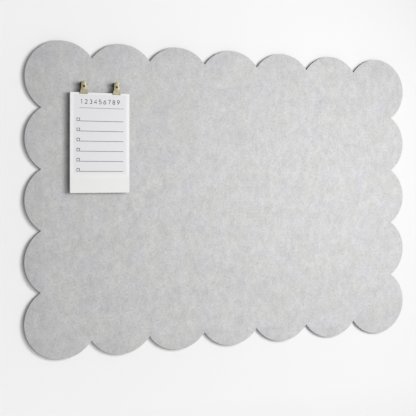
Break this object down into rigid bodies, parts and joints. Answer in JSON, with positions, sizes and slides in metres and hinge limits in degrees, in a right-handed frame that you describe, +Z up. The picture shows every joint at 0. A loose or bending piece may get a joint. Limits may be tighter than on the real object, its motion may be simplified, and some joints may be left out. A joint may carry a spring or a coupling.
{
  "type": "felt bulletin board",
  "caption": "Scalloped felt pin board that hangs flat on a wall, with a list pad held on it by two spring clips on push pins.",
  "frame": {"origin": "on the wall, behind the middle of the board, at the back face of the centre hook strip", "axes": "+X to the viewer's right, +Y into the wall, +Z up; the felt faces -Y"},
  "size_m": [0.9144, 0.0248, 0.6604],
  "materials": {
    "felt": "pressed heathered polyester felt, matt",
    "hook_tape": "woven nylon hook tape, matt",
    "loop_tape": "brushed nylon loop tape, matt",
    "paper": "uncoated paper, matt",
    "card": "grey board, matt",
    "binding_glue": "dried padding glue, satin",
    "brass": "pale brass plate, satin",
    "steel": "bright steel wire"
  },
  "bodies": {
    "board": {"felt_panel": "felt", "hook_strip_top_left": "hook_tape", "hook_strip_top_right": "hook_tape", "hook_strip_centre": "hook_tape", "hook_strip_bottom_left": "hook_tape", "hook_strip_bottom_right": "hook_tape", "loop_strip_top_left": "loop_tape", "loop_strip_top_right": "loop_tape", "loop_strip_centre": "loop_tape", "loop_strip_bottom_left": "loop_tape", "loop_strip_bottom_right": "loop_tape"},
    "hung_list": {"backing_card": "card", "pad_sheets": "paper", "top_sheet": "paper", "binding_edge": "binding_glue", "back_jaw_left": "brass", "hinge_pin_left": "brass", "torsion_spring_left": "steel", "push_pin_left": "steel", "back_jaw_right": "brass", "hinge_pin_right": "brass", "torsion_spring_right": "steel", "push_pin_right": "steel"},
    "left_jaw": {"front_jaw_left": "brass"},
    "right_jaw": {"front_jaw_right": "brass"}
  },
  "joints": [
    {"name": "list_pull", "type": "slide", "parent": "board", "child": "hung_list", "axis": [0, -1, 0], "range_m": [0, 0.01]},
    {"name": "left_jaw_squeeze", "type": "hinge", "parent": "hung_list", "child": "left_jaw", "pos_m": [-0.3377, -0.01701, 0.2289], "axis": [-1, 0, 0], "range_deg": [0, 40], "stiffness_Nm_per_rad": 0.1, "springref_deg": -40.11, "deforming": ["torsion_spring_left"]},
    {"name": "right_jaw_squeeze", "type": "hinge", "parent": "hung_list", "child": "right_jaw", "pos_m": [-0.2677, -0.01701, 0.2289], "axis": [-1, 0, 0], "range_deg": [0, 40], "stiffness_Nm_per_rad": 0.1, "springref_deg": -40.11, "deforming": ["torsion_spring_right"]}
  ]
}
